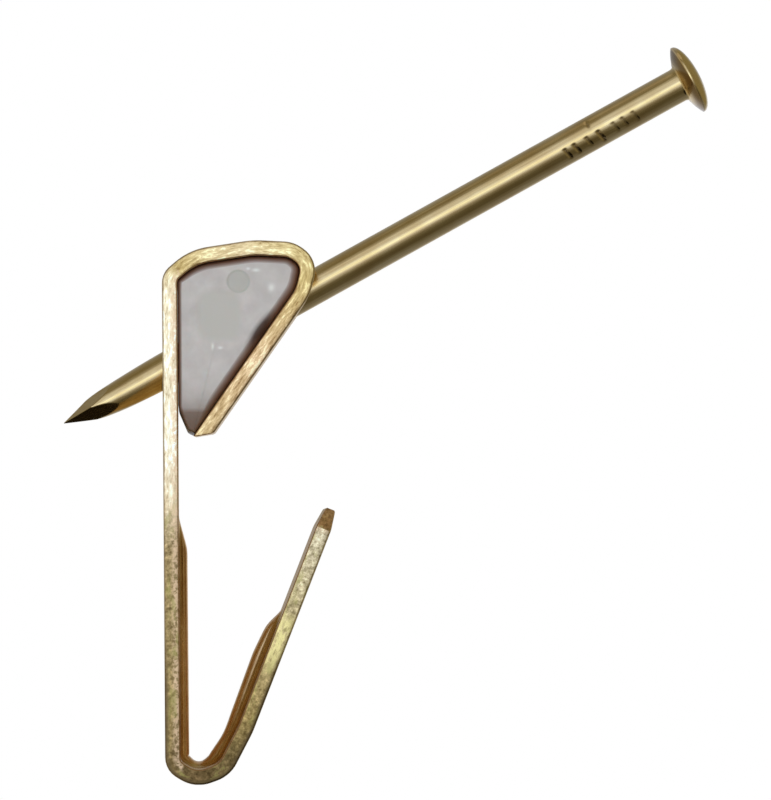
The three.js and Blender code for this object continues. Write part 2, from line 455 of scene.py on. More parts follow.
# %% [markdown]
# The moulding's edges are rounded, least along the wall side and most along the sloped leg, where
# the mould was opened out. The narrow nose has little room for it. The rounding is a quarter
# ellipse from the wall of the wedge to its end face. Inside it the outline shrinks evenly towards
# one middle point.

# %% Rounding of the moulded edges
wall_rounding = 0.2
top_rounding = 0.34
front_rounding = 0.44
nose_rounding = 0.15
blending_passes = 12

edge_heading = np.roll(guide_edge, -1, axis=0) - np.roll(guide_edge, 1, axis=0)
edge_heading /= np.linalg.norm(edge_heading, axis=1, keepdims=True)
edge_inward = np.stack([-edge_heading[:, 1], edge_heading[:, 0]], axis=1)
faces_up = smooth_step(-edge_inward[:, 1], 0.55, 0.9)
faces_out = smooth_step(-edge_inward[:, 0], 0.0, 0.5) * (1 - faces_up)
edge_rounding = wall_rounding + (top_rounding - wall_rounding) * faces_up
edge_rounding += (front_rounding - wall_rounding) * faces_out
near_nose = 1 - smooth_step(guide_edge[:, 1], -3.3, -1.6)
edge_rounding += (nose_rounding - edge_rounding) * near_nose
for _ in range(blending_passes):
    edge_rounding = (np.roll(edge_rounding, 1) + edge_rounding + np.roll(edge_rounding, -1)) / 3
print("rounding, mm:", edge_rounding.min().round(2), "to", edge_rounding.max().round(2))

# %% [markdown]
# The mould left two marks on the end face: a sunken panel and the disc of an ejector pin. Both are
# shallow, so moving the face's own points makes them with soft edges. A boolean cut would leave
# them too crisp.

# %% Sunken panel and pin mark
panel_middle = np.array([3.0, 2.75])
panel_half = np.array([1.15, 1.35])
panel_depth = 0.05
pin_middle = np.array([3.98, 4.54])
pin_radius = 0.57
pin_depth = 0.035
pin_blur = 0.06


def from_panel(spots):
    """0 in the panel's middle and 1 at its edge, which is a rectangle with full round corners."""
    offset = np.abs(spots - panel_middle) / panel_half
    return (offset ** 4).sum(axis=1) ** 0.25


def from_pin(spots):
    return np.linalg.norm(spots - pin_middle, axis=1)


def sunk(spots):
    """How far the end face lies below its own plane at these places."""
    panel = 1 - smooth_step(from_panel(spots), 0.8, 1.15)
    pin = 1 - smooth_step(from_pin(spots), pin_radius - pin_blur, pin_radius + pin_blur)
    return np.maximum(panel_depth * panel, pin_depth * pin)


print("depth at the panel's middle, mm:", sunk(panel_middle[None]).round(3)[0])

# %% [markdown]
# With the rounding and the marks known, the guide is skinned from one end face to the other. The
# rings run down the rounded edge first and then shrink over the flat face to a single point.

# %% Rings of the guide
depth_per_reach = 0.9
edge_rings = 6
face_rings = 59


def guide_ring(side, rounding_share, depth, shrink=1.0):
    """The outline drawn in by a share of its rounding, then shrunk towards the middle.

    The depth is how far the ring lies below the end face, as a share of the rounding.
    """
    spots = guide_edge + edge_inward * (edge_rounding * rounding_share)[:, None]
    spots = guide_middle + (spots - guide_middle) * shrink
    dip = sunk(spots) if depth == 0 else depth * edge_rounding
    across = side * (guide_half_width - dip)
    return list(zip(spots[:, 0], across, spots[:, 1]))


def guide_side(side):
    """Rings from the wedge's wall over the rounded edge to the middle of the end face."""
    quarter = np.linspace(0, math.pi / 2, edge_rings + 1)[:-1]
    edge = [guide_ring(side, 1 - math.cos(a), depth_per_reach * (1 - math.sin(a))) for a in quarter]
    face = [guide_ring(side, 1, 0, shrink) for shrink in np.linspace(1, 0, face_rings + 1)[:-1]]
    middle = guide_ring(side, 1, 0, 0)[:1]
    return edge + face + [middle]


guide = skin("guide", guide_side(-1)[::-1] + guide_side(1))
cut_away(guide, bore_rod())
shade(guide, crease_degrees=50)

# %% [markdown]
# ## The nail
#
# A nail starts as drawn wire. Two jaws grip it, which leaves a row of nicks on its sides; a punch
# upsets the head, and four cutters pinch the diamond point. The mesh follows the same story: a
# turned outline gives the radius at each height, four flat facets cut the point, and the nicks
# press the skin in a little.

# %% Turned outline of the nail
nail_length = 38.43
past_wall = 5.97
head_radius = 1.9
rim_height = 37.75
rim_thickness = 0.06
flare = 0.34
under_rim = rim_height - flare
fillet_radius = 1.14
fillet_height = 0.26
fillet_foot = under_rim - fillet_height


def curve_through(start, middle, end, steps):
    """A quadratic curve; the middle point pulls it without lying on it."""
    share = np.linspace(0, 1, steps)[:, None]
    start, middle, end = (np.array(p) for p in (start, middle, end))
    return (1 - share) ** 2 * start + 2 * share * (1 - share) * middle + share ** 2 * end


def dome(steps):
    """The head's crown, half an ellipse from the rim up to the axis."""
    foot = rim_height + rim_thickness
    angles = np.linspace(0, math.pi / 2, steps)
    heights = foot + (nail_length - foot) * np.sin(angles)
    return np.stack([head_radius * np.cos(angles), heights], axis=1)


squeezed = [(0.49, 1.2), (0.85, 2.45), (nail_radius, 6.2)]
blank = np.vstack([[0.25, 0], curve_through(*squeezed, 40)])
fillet = [(nail_radius, fillet_foot), (nail_radius, under_rim), (fillet_radius, under_rim)]
underside = [(1.2, under_rim + 0.03), (1.6, under_rim + 0.16), (head_radius - 0.03, rim_height)]
rim = [(head_radius, rim_height + 0.02), (head_radius, rim_height + rim_thickness - 0.01)]
head_outline = np.vstack([
    curve_through(*fillet, 9),
    curve_through(*underside, 9),
    rim,
    dome(18)[1:-1],
])
print("head outline has", len(head_outline), "points")

# %% [markdown]
# Four cutters pinch the point, so it has four flat facets at one slope. Cutting a cone with four
# boolean blocks could leave slivers. It is simpler to let each point of a ring lie on the nearest
# facet wherever that is closer to the axis than the round wire.

# %% Facets of the point
point_slope = math.tan(math.radians(14.04))
point_flat = 0.05
point_turn = math.radians(-12)


def pinched(height, angle):
    """Distance from the axis to the nearest of the point's four flat facets."""
    from_facet = ((angle + point_turn) % (math.pi / 2)) - math.pi / 4
    return (height + point_flat) * point_slope / math.cos(from_facet)


print("half the point's flat end, mm:", round(pinched(0, -point_turn + math.pi / 4), 3))

# %% [markdown]
# The jaws that held the wire for heading left a row of nicks on each side. No two are alike: each
# has its own strength and reach round the wire, and one slip mark lies above the row. A texture
# could fake them, but real dents catch the light as the nail turns, so they are pressed into the
# rings.

# %% Nicks of the jaws
nicks = [[30.2, 0.9], [30.75, 1.1], [31.5, 1.0], [32.2, 0.9], [33.1, 0.6], [33.65, 0.7], [34.3, 0.5]]
nick_margin = 0.6
nick_depth = 0.05
nick_half_width = 0.12
nick_lean = 0.2
nick_starts = (1, 7)
nick_ends = 38
nick_fade = 16
luck_per_mm, luck_layer = 1.9, 0.4
head_side_steepness = 1.9
far_side_steepness = 0.9
slip_height, slip_half_width = 31.9, 0.08
slip_turn, slip_reach = 30, 14
slip_strength = 0.7


def near_nicks(height):
    return nicks[0][0] - nick_margin < height < nicks[-1][0] + nick_margin


def nick(height, angle):
    """How deep the jaws' nicks are here, as a share of a full nick; both jaws leave the same row."""
    share = 0.0
    for jaw in (0, math.pi):
        turn = (angle - jaw + math.pi) % (2 * math.pi) - math.pi
        below = math.degrees(-turn)
        for place, strength in nicks:
            luck = noise.noise(Vector((place * luck_per_mm, jaw, luck_layer)))
            foot = nick_ends + nick_fade * luck
            fading = 1 - smooth_step(below, foot, foot + nick_fade)
            reach = float(smooth_step(below, *nick_starts) * fading)
            away = (height - place - nick_lean * math.radians(below)) / nick_half_width
            # The jaw bites straight down on the head's side and slopes out on the other.
            away *= head_side_steepness if away > 0 else far_side_steepness
            share += strength * (1 + 0.5 * luck) * reach * math.exp(-away * away)
    from_slip = (height - slip_height) / slip_half_width
    round_slip = (math.degrees(angle) - slip_turn) / slip_reach
    return share + slip_strength * math.exp(-(from_slip ** 2 + round_slip ** 2))


print("nicks in each row:", len(nicks), "from", nicks[0][0], "to", nicks[-1][0], "mm")

# %% [markdown]
# Rings of points lie close together at the point and along the nicks, where the shape is fine,
# and further apart on the plain shank. The real point is pinched slightly off the axis, so its
# rings are lifted a little towards the tip, and the head was struck a degree out of square.

# %% Rings of the nail
nail_sides = 128
point_lift = 0.165
lift_reach = 4.5
head_tilt = math.tan(math.radians(1.2))


def nail_ring(height, radius):
    ring = []
    lift = point_lift * max(0.0, 1 - height / lift_reach) ** 2
    for k in range(nail_sides):
        angle = 2 * math.pi * k / nail_sides
        reach = min(radius, pinched(height, angle))
        if near_nicks(height):
            reach -= nick_depth * nick(height, angle)
        lean = head_tilt * reach * math.sin(angle) if height > fillet_foot else 0
        spot = place_on_nail(height - past_wall + lean, reach, angle)
        ring.append(spot + Vector((0, 0, lift)))
    return ring


point_heights = np.arange(0, 6.3, 0.07)
shank_heights = np.concatenate([
    np.arange(6.5, 29.4, 0.6),
    np.arange(29.5, 34.95, 0.045),
    np.arange(35.2, fillet_foot - 0.1, 0.3),
])
nail_outline = [(h, float(np.interp(h, blank[:, 1], blank[:, 0]))) for h in point_heights]
nail_outline += [(h, nail_radius) for h in shank_heights]
nail_outline += [(h, radius) for radius, h in head_outline]
crown = [along_nail * (nail_length - past_wall)]
nail = skin("wire_nail", [nail_ring(h, radius) for h, radius in nail_outline] + [crown])
shade(nail, crease_degrees=28)

# %% [markdown]
# ## Finishes as node materials
#
# Every finish below is a small network of nodes. A helper adds a node, sets its values and wires
# its inputs in one call, so each material reads as a list of what it is made of. Object
# coordinates are in metres, so a scale of 1000 counts in millimetres.

# %% Helper for node networks
class Network:
    """The nodes of one material or world, with calls that add to them."""

    def __init__(self, tree):
        self.tree = tree

    def add(self, kind, inputs=(), **settings):
        made = self.tree.nodes.new(kind)
        for key, value in settings.items():
            setattr(made, key, value)
        for key, value in dict(inputs).items():
            self.wire(made.inputs[key], value)
        return made

    def wire(self, socket, value):
        if isinstance(value, bpy.types.NodeSocket):
            self.tree.links.new(socket, value)
        else:
            socket.default_value = value

    def product(self, first, second):
        return self.add("ShaderNodeMath", {0: first, 1: second}, operation="MULTIPLY").outputs[0]

    def between(self, value, low, high):
        """0 below low, 1 above high, and smooth in between; low may be the larger of the two."""
        made = self.add("ShaderNodeMapRange", {"Value": value, "From Min": low, "From Max": high})
        made.interpolation_type = "SMOOTHSTEP"
        return made.outputs["Result"]

    def ramp(self, value, *stops):
        """A colour ramp; each stop is (position, colour) and grey levels may be plain numbers."""
        made = self.add("ShaderNodeValToRGB", {"Fac": value})
        band = made.color_ramp
        while len(band.elements) < len(stops):
            band.elements.new(1.0)
        for element, (position, colour) in zip(band.elements, stops):
            element.position = position
            colour = (colour,) * 3 if isinstance(colour, (int, float)) else colour
            element.color = (*colour, 1.0)
        return made.outputs["Color"]

    def mix(self, share, first, second, way="MIX"):
        made = self.add("ShaderNodeMix", data_type="RGBA", blend_type=way)
        share_socket, first_socket, second_socket = (made.inputs[k] for k in (0, 6, 7))
        self.wire(share_socket, share)
        for socket, value in ((first_socket, first), (second_socket, second)):
            self.wire(socket, (*value, 1.0) if isinstance(value, tuple) else value)
        return made.outputs[2]


print("calls for a network:", [name for name in vars(Network) if not name.startswith("_")])

# %% [markdown]
# A metal or nylon finish is a network that ends in the one Principled shader. It needs a few calls
# of its own: places in millimetres, noise, bumps, and the values kept on the mesh. Numbers that
# are the same all over the surface go straight onto the shader's sockets.

# %% Helper for finishes
class Finish(Network):
    """A material with a Principled shader."""

    def __init__(self, name):
        self.material = bpy.data.materials.new(name)
        self.material.use_nodes = True
        super().__init__(self.material.node_tree)
        self.shader = self.tree.nodes["Principled BSDF"]
        self.place = self.add("ShaderNodeTexCoord").outputs["Object"]

    def stretched(self, scale, turn=(0, 0, 0)):
        """Object coordinates turned and then scaled per axis, in features per millimetre."""
        turned = self.add("ShaderNodeMapping", {"Vector": self.place, "Rotation": turn})
        factor = tuple(s / MM for s in scale)
        sized = self.add("ShaderNodeMapping", {"Vector": turned.outputs[0], "Scale": factor})
        return sized.outputs[0]

    def axis(self, name):
        """One object coordinate, in millimetres."""
        split = self.add("ShaderNodeSeparateXYZ", {"Vector": self.place})
        return self.product(split.outputs[name], 1 / MM)

    def mark(self, name):
        """A value that `store` kept on the mesh."""
        return self.add("ShaderNodeAttribute", attribute_name=name).outputs["Fac"]

    def noise(self, where, detail=3.0, rough=0.55):
        settings = {"Vector": where, "Scale": 1.0, "Detail": detail, "Roughness": rough}
        return self.add("ShaderNodeTexNoise", settings).outputs["Fac"]

    def height(self, value, distance_mm, strength=1.0):
        settings = {"Height": value, "Distance": distance_mm * MM, "Strength": strength}
        return self.add("ShaderNodeBump", settings).outputs["Normal"]

    def finish(self, color, roughness, normal, metallic=1.0, **constants):
        for key, value in {"Base Color": color, "Roughness": roughness, "Normal": normal}.items():
            self.wire(self.shader.inputs[key], value)
        self.shader.inputs["Metallic"].default_value = metallic
        for key, value in constants.items():
            self.shader.inputs[key.replace("_", " ")].default_value = value
        print(self.material.name, "has", len(self.tree.nodes), "nodes")
        return self.material

# %% [markdown]
# ## Brass plating on the strap's faces
#
# The broad faces are bright rolled sheet with fine lines along the strip, warmed by thin brass
# plating. Where the punch stretched the metal for the rib, the plating is thinner and more
# copper-brown, and the same colour also paints the brown reflection on the rib's flank. Both are
# told apart by place: the rib lies in the middle of the width, below the loop.

# %% Finish of the strap's faces
rolled = Finish("brass_rolled_face")
grain = rolled.noise(rolled.stretched((1.2, 14.0, 1.2)), detail=4)
clouds = rolled.noise(rolled.stretched((0.8, 0.8, 0.8)), detail=3)
sheet_color = rolled.ramp(clouds, (0.3, (0.60, 0.43, 0.19)), (0.7, (0.80, 0.64, 0.36)))
from_middle = rolled.add("ShaderNodeMath", {0: rolled.axis("Y")}, operation="ABSOLUTE").outputs[0]
on_rib = rolled.between(from_middle, 1.32, 1.14)
below_loop = rolled.between(rolled.axis("Z"), -7.6, -8.6)
# The rib's copper-brown is partly the stretched plating's own tone and partly a painted reflection.
stretched_and_reflecting = rolled.product(on_rib, below_loop)
copper = rolled.ramp(clouds, (0.3, (0.80, 0.52, 0.30)), (0.7, (0.95, 0.70, 0.44)))
rolled_color = rolled.mix(stretched_and_reflecting, sheet_color, copper)
rolled_roughness = rolled.ramp(grain, (0.3, 0.20), (0.7, 0.34))
rolled_normal = rolled.height(grain, 0.004, 0.6)
edge_tint = (0.90, 0.78, 0.62, 1)
brass_face = rolled.finish(rolled_color, rolled_roughness, rolled_normal, Specular_Tint=edge_tint)

# %% [markdown]
# ## Plating over the sheared edge
#
# Shearing leaves a drawn, streaky band along the strip's edge. Plated over, it scatters light as
# streaks of gold and cream round the loop, with a painted pale highlight on the wall side, and
# a mottle of tan and olive round the J, where the press handled it. A painted yellow highlight
# lies where the rib runs out. The two long borders get painted shade and are darker than the middle.

# %% Base colour of the cut edge along the strip
sheared = Finish("brass_cut_edge")
along = sheared.mark("along_strip")
through = sheared.mark("through_strip")
share_along = sheared.add("ShaderNodeMath", {0: along, 1: strip_length}, operation="DIVIDE").outputs[0]


def distance_at(x, z):
    """How far along the strip the station nearest to this place lies, as a share of its length."""
    station = np.linalg.norm(strap_line - np.array([x, z]), axis=1).argmin()
    return float(strap_distance[station] / strip_length)


edge_base = sheared.ramp(
    share_along,
    (0.0, (0.64, 0.46, 0.24)),
    # Up the sloped leg and round the loop to the wall side.
    (distance_at(5.0, 0.6), (0.72, 0.50, 0.29)),
    (distance_at(7.6, 4.6), (0.62, 0.46, 0.20)),
    (distance_at(6.7, 6.1), (0.78, 0.62, 0.32)),
    (distance_at(4.0, 6.3), (0.80, 0.63, 0.38)),
    (distance_at(0.8, 5.4), (0.62, 0.46, 0.20)),
    # Down the wall side: a painted pale highlight first, then mottled.
    (distance_at(0.4, 4.1), (0.95, 0.82, 0.60)),
    (distance_at(0.4, -4.0), (0.98, 0.87, 0.68)),
    (distance_at(0.4, -7.2), (0.80, 0.64, 0.44)),
    (distance_at(0.4, -9.3), (0.40, 0.29, 0.15)),
    (distance_at(0.4, -18.0), (0.38, 0.27, 0.12)),
    # Round the dark bottom of the J and up the front leg.
    (distance_at(1.6, -21.2), (0.17, 0.11, 0.05)),
    (distance_at(3.6, -20.2), (0.20, 0.14, 0.06)),
    (distance_at(4.6, -18.2), (0.38, 0.27, 0.11)),
    (distance_at(5.8, -15.0), (0.50, 0.38, 0.19)),
    (distance_at(6.6, -12.8), (0.62, 0.50, 0.29)),
    # The coined tip keeps the brown of its tool.
    (1.0 - 1.3 / strip_length, (0.78, 0.67, 0.49)),
    (1.0 - 1.0 / strip_length, (0.78, 0.52, 0.35)),
)
print("the bottom of the J lies", round(distance_at(1.6, -21.2), 2), "of the way along")

# %% [markdown]
# Streaks and mottles are both noise in the strip's own coordinates. The streaks are drawn out
# lengthwise; the mottles are rounder and take over down on the J.

# %% Streaks and mottles
def on_strip(per_mm_along, per_thickness):
    """Coordinates for a noise that follows the strip, different on its two sides."""
    first = sheared.product(along, per_mm_along)
    second = sheared.product(through, per_thickness)
    third = sheared.product(sheared.axis("Y"), 0.5)
    return sheared.add("ShaderNodeCombineXYZ", {0: first, 1: second, 2: third}).outputs[0]


streaks = sheared.noise(on_strip(1.5, 2.2), detail=5, rough=0.7)
mottles = sheared.noise(on_strip(4.6, 1.9), detail=5, rough=0.68)
on_hook = sheared.between(sheared.axis("Z"), -5.5, -8.8)
streak_tone = sheared.ramp(
    streaks,
    (0.35, (0.50, 0.42, 0.32)),
    (0.46, (0.88, 0.84, 0.76)),
    (0.55, (1.10, 1.10, 1.08)),
    (0.62, (1.7, 1.8, 1.95)),
)
mottle_tone = sheared.ramp(
    mottles,
    (0.34, (0.45, 0.42, 0.34)),
    (0.47, (0.86, 0.84, 0.74)),
    (0.56, (1.15, 1.14, 1.08)),
    (0.66, (1.75, 1.72, 1.65)),
)
tone = sheared.mix(on_hook, streak_tone, mottle_tone)
edge_color = sheared.mix(1.0, edge_base, tone, "MULTIPLY")
print("nodes in the cut edge so far:", len(sheared.tree.nodes))

# %% [markdown]
# Two kinds of wear and one painted highlight lie over that. The wall side's inner half is rubbed to
# a coppery pink between its mottles, the J has olive spots where the plating is thickest, and a
# painted yellow highlight lies where the rib runs out. Each is one colour, mixed in by a share
# worked out from its place on the strip.

# %% Rubbed and olive patches, and a painted highlight
pink = sheared.ramp(mottles, (0.44, 0.1), (0.54, 0.8))
inner_half = sheared.between(through, -0.25, 0.55)
wall_side = sheared.between(sheared.axis("X"), 1.0, 0.85)
rubbed = sheared.product(sheared.product(inner_half, wall_side), pink)
edge_color = sheared.mix(rubbed, edge_color, (0.78, 0.55, 0.36))

olive_spots = sheared.noise(on_strip(1.1, 0.9), detail=3)
olive_share = sheared.product(sheared.ramp(olive_spots, (0.54, 0.0), (0.66, 0.5)), on_hook)
edge_color = sheared.mix(olive_share, edge_color, (0.40, 0.36, 0.11))

# A painted yellow highlight where the rib runs out, laid along the streaks.
highlight_middle = distance_at(6.1, -14.2)
near_highlight = sheared.ramp(
    share_along,
    (highlight_middle - 0.034, 0.0),
    (highlight_middle - 0.01, 0.9),
    (highlight_middle + 0.012, 0.9),
    (highlight_middle + 0.026, 0.0),
)
painted_highlight = sheared.product(near_highlight, sheared.ramp(streaks, (0.40, 0.1), (0.52, 1.0)))
edge_color = sheared.mix(painted_highlight, edge_color, (1.0, 0.86, 0.38))
print("painted highlight at", round(highlight_middle * strip_length, 1), "mm along the strip")

# %% [markdown]
# The two long borders are rolled over by the shear; painted shade makes them brown inside and grey
# outside. The outer half is also darker low on the J. A slight relief from the same noise keeps the
# streaks from looking painted on.

# %% Borders and relief of the cut edge
# Painted shade on the two rolled borders: brown on the inner one, grey on the outer one.
inner_border_shade = sheared.between(through, 0.78, 1.0)
edge_color = sheared.mix(inner_border_shade, edge_color, (0.60, 0.34, 0.16))
outer_border_shade = sheared.between(through, -0.80, -1.0)
edge_color = sheared.mix(outer_border_shade, edge_color, (0.66, 0.58, 0.48))
# The outer half of the cut edge is made darker low on the J.
low_on_hook = sheared.between(sheared.axis("Z"), -12.0, -17.5)
outer_half = sheared.between(through, -0.30, -0.75)
darker_low_outer = sheared.product(sheared.product(low_on_hook, outer_half), 0.85)
edge_color = sheared.mix(darker_low_outer, edge_color, (0.16, 0.11, 0.05))

edge_relief = sheared.mix(on_hook, streaks, mottles)
edge_roughness = sheared.mix(on_hook, (0.25, 0.25, 0.25), (0.34, 0.34, 0.34))
edge_roughness = sheared.mix(0.25, edge_roughness, streaks)
brass_edge = sheared.finish(edge_color, edge_roughness, sheared.height(edge_relief, 0.012, 0.6))

# %% [markdown]
# ## Which faces are which
#
# The cut edge is the part of the surface that faces along Y, out to its rolled corners. Each face
# of the strap gets its finish from its own normal and from how far out it lies.

# %% Give the strap its two finishes
strap.data.materials.clear()
strap.data.materials.append(brass_face)
strap.data.materials.append(brass_edge)
edge_facing = 0.35
edge_reach = tip_corner_cut + 0.1
for face in strap.data.polygons:
    from_middle_mm = abs(face.center.y / MM)
    on_side = abs(face.normal.y) > edge_facing and from_middle_mm > half_width - edge_reach
    face.material_index = 1 if on_side else 0
print("edge faces:", sum(face.material_index for face in strap.data.polygons))

# %% [markdown]
# ## Moulded nylon
#
# The guide is unpigmented nylon, milky and slightly see-through, so light sinks in a little way
# and it looks grey between the metal walls. Its rounded edges get painted shade, brown like the
# brass beside them, and a painted shadow makes it darkest where the nail leaves through the sloped
# leg. The distance to the outline, as a share of the rounding there, is kept on the mesh for that,
# and so are the panel, the pin's mark and a few white scuffs that are partly painted highlights.

# %% Marks on the guide
# White spots on the guide: partly scuffs, partly painted highlights.
scuffs = [  # x, z, half width and half height of each
    [4.9, 5.12, 0.20, 0.09],
    [4.5, 5.2, 0.1, 0.07],
    [2.62, 1.16, 0.07, 0.16],
    [3.02, 1.08, 0.13, 0.07],
    [5.7, 4.2, 0.16, 0.2],
]
guide_spots = np.array([(v.co.x, v.co.z) for v in guide.data.vertices]) / MM
to_edge = np.linalg.norm(guide_spots[:, None] - guide_edge[None], axis=2)
store(guide, "rim", to_edge.min(axis=1) / edge_rounding[to_edge.argmin(axis=1)])
pin_fade = 0.08
pin_mark = 1 - smooth_step(from_pin(guide_spots), pin_radius - pin_fade, pin_radius + pin_fade)
store(guide, "pin", pin_mark)
store(guide, "panel", 1 - smooth_step(from_panel(guide_spots), 0.75, 1.15))
scuff_and_glint_share = np.zeros(len(guide_spots))
for x, z, wide, high in scuffs:
    away = ((guide_spots[:, 0] - x) / wide) ** 2 + ((guide_spots[:, 1] - z) / high) ** 2
    scuff_and_glint_share = np.maximum(scuff_and_glint_share, np.exp(-away))
store(guide, "scuffs", scuff_and_glint_share)
shadow_middle = np.array([5.1, 2.0])
shadow_reach = (1.1, 0.30)
leg_axes = np.array([leg, turned_left(leg)])
offset = (guide_spots - shadow_middle) @ leg_axes.T / shadow_reach
store(guide, "nail_shadow", np.exp(-(offset ** 2).sum(axis=1)))

# %% [markdown]
# The finish lays these marks over the milky body one after another: the panel, the pin's mark and
# the scuffs with their painted highlights first, then the painted brown shade beside the metal, the
# dark nose, and last the painted shadow where the nail leaves. Some of the light scatters under the
# surface, which a plain grey can't imitate.

# %% Finish of the guide
milky = Finish("nylon_moulded")
flow = milky.noise(milky.stretched((0.9, 0.9, 0.9)), detail=3)
fine = milky.noise(milky.stretched((7.0, 7.0, 7.0)), detail=2)
body_color = milky.ramp(flow, (0.35, (0.57, 0.545, 0.55)), (0.65, (0.66, 0.635, 0.64)))
body_color = milky.mix(milky.mark("panel"), body_color, (0.575, 0.565, 0.55))
pin_share = milky.ramp(milky.mark("pin"), (0.0, 0.0), (0.45, 0.9), (1.0, 0.7))
body_color = milky.mix(pin_share, body_color, (0.475, 0.485, 0.46))
# Near-white spots that are partly scuffs and partly painted highlights.
body_color = milky.mix(milky.mark("scuffs"), body_color, (0.86, 0.86, 0.87))
# Painted shade: the rounded edges turn dark brown towards the metal walls.
metal_side_shade = milky.ramp(milky.mark("rim"), (0.25, 1.0), (0.7, 0.75), (1.05, 0.28), (1.4, 0.0))
nylon_color = milky.mix(metal_side_shade, body_color, (0.17, 0.08, 0.05))
downward = milky.between(milky.axis("Z"), 0.0, -3.2)
on_nose = milky.ramp(downward, (0.0, 0.0), (0.45, 0.18), (0.70, 0.45), (0.80, 0.88), (1.0, 0.97))
nylon_color = milky.mix(on_nose, nylon_color, (0.15, 0.085, 0.05))
shadow_share = milky.ramp(milky.mark("nail_shadow"), (0.15, 0.0), (0.8, 0.9))
nylon_color = milky.mix(shadow_share, nylon_color, (0.05, 0.02, 0.012))
nylon_roughness = milky.ramp(fine, (0.3, 0.38), (0.7, 0.5))
nylon = milky.finish(
    nylon_color,
    nylon_roughness,
    milky.height(flow, 0.03, 0.5),
    metallic=0.0,
    Subsurface_Weight=0.25,
    Subsurface_Scale=0.0004,
    IOR=1.53,
)
guide.data.materials.clear()
guide.data.materials.append(nylon)

# %% [markdown]
# ## Drawn wire
#
# The nail is smoother than the strap. The die that drew its wire left hair-fine lines along the
# length, and the plating over them is a darker, greener gold. Turning the coordinates so that X
# runs along the nail lets one stretched noise follow the lines. Painted shade darkens the jaws'
# nicks, so their depth is kept on the mesh.

# %% Finish of the nail
nail_spots = [vertex.co / MM for vertex in nail.data.vertices]
nail_heights = [spot.dot(along_nail) + past_wall for spot in nail_spots]
nail_turns = [math.atan2(spot.dot(above_nail), spot.dot(toward_viewer)) for spot in nail_spots]
marks = [nick(h, turn) if near_nicks(h) else 0 for h, turn in zip(nail_heights, nail_turns)]
store(nail, "jaw_mark", marks)
store(nail, "height_on_nail", nail_heights)

drawn = Finish("brass_drawn_wire")
tilt = math.atan2(along_nail.z, along_nail.x)
lines = drawn.noise(drawn.stretched((0.25, 16.0, 16.0), (0, tilt, 0)), detail=3)
clouding = drawn.noise(drawn.stretched((0.7, 0.7, 0.7)), detail=4)
wire_color = drawn.ramp(clouding, (0.3, (0.68, 0.51, 0.24)), (0.7, (0.80, 0.65, 0.36)))
tarnish = drawn.ramp(lines, (0.42, 0.5), (0.56, 0.0))
wire_color = drawn.mix(tarnish, wire_color, (0.60, 0.42, 0.20))
# Painted shade darkens the jaws' nicks.
nick_shade = drawn.ramp(drawn.mark("jaw_mark"), (0.06, 0.0), (0.9, 0.75))
wire_color = drawn.mix(nick_shade, wire_color, (0.24, 0.16, 0.085))

# Painted shade darkens the corner between the flared underside and the rim.
up_nail = drawn.mark("height_on_nail")
crease_shade = drawn.product(
    drawn.between(up_nail, rim_height - 0.42, rim_height - 0.16),
    drawn.between(up_nail, rim_height + 0.04, rim_height - 0.03),
)
crease_shade = drawn.ramp(crease_shade, (0.0, 0.0), (1.0, 0.8))
wire_color = drawn.mix(crease_shade, wire_color, (0.12, 0.07, 0.035))
wire_roughness = drawn.ramp(lines, (0.3, 0.13), (0.7, 0.22))
wire_finish = drawn.finish(wire_color, wire_roughness, drawn.height(lines, 0.003, 0.5))
nail.data.materials.clear()
nail.data.materials.append(wire_finish)

# %% [markdown]
# ## Joining the pieces to the frame
#
# Each piece rides on the body it belongs to and stands for the packed node of the same part. The
# nail slides, and the strap and guide stay together as the hook.

# %% Ride and replace
for piece, body, node, slot in [
    (strap, "hook", "hook_strap", "strap_plating"),
    (guide, "hook", "nail_guide", "nylon"),
    (nail, "nail", "nail", "nail_plating"),
]:
    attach(piece, body)
    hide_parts(node)
    print(piece.name, "rides on", body)

# %% [markdown]
# ## Light all round
#
# Metal shows its surroundings, so the surroundings are the light. Round the nail's axis they run
# from a bright card beside the viewer, through a paler tent above, to a dark room below. That one
# band gives the nail its cream line with a dark line under it, and the strap its pale wall side
# and brown inner side.

# %% Directions round the hook
world = bpy.data.worlds.new("light_tent")
bpy.context.scene.world = world
world.use_nodes = True
world.node_tree.nodes.clear()
sky = Network(world.node_tree)
looking = sky.add("ShaderNodeTexCoord").outputs["Generated"]


def toward(direction):
    """How far the looking direction points towards the given one, from -1 to 1."""
    inputs = {0: looking, 1: tuple(direction)}
    return sky.add("ShaderNodeVectorMath", inputs, operation="DOT_PRODUCT").outputs["Value"]


above_and_beside = {0: toward(above_nail), 1: toward(toward_viewer)}
turn = sky.add("ShaderNodeMath", above_and_beside, operation="ARCTAN2").outputs[0]
full_turn = {"Value": turn, "From Min": -math.pi, "From Max": math.pi}
share_of_turn = sky.add("ShaderNodeMapRange", full_turn).outputs["Result"]
print("nodes that find the direction:", len(sky.tree.nodes))

# %% [markdown]
# Area lamps could draw this band too, but each would need its own place and size, and their
# reflections would end in hard edges. A colour ramp round the nail's axis sets every step of the
# band in one table. Each stop gives the degrees above the viewer's direction, the brightness, and
# a tint from warm (below 0) to cool (above 0).

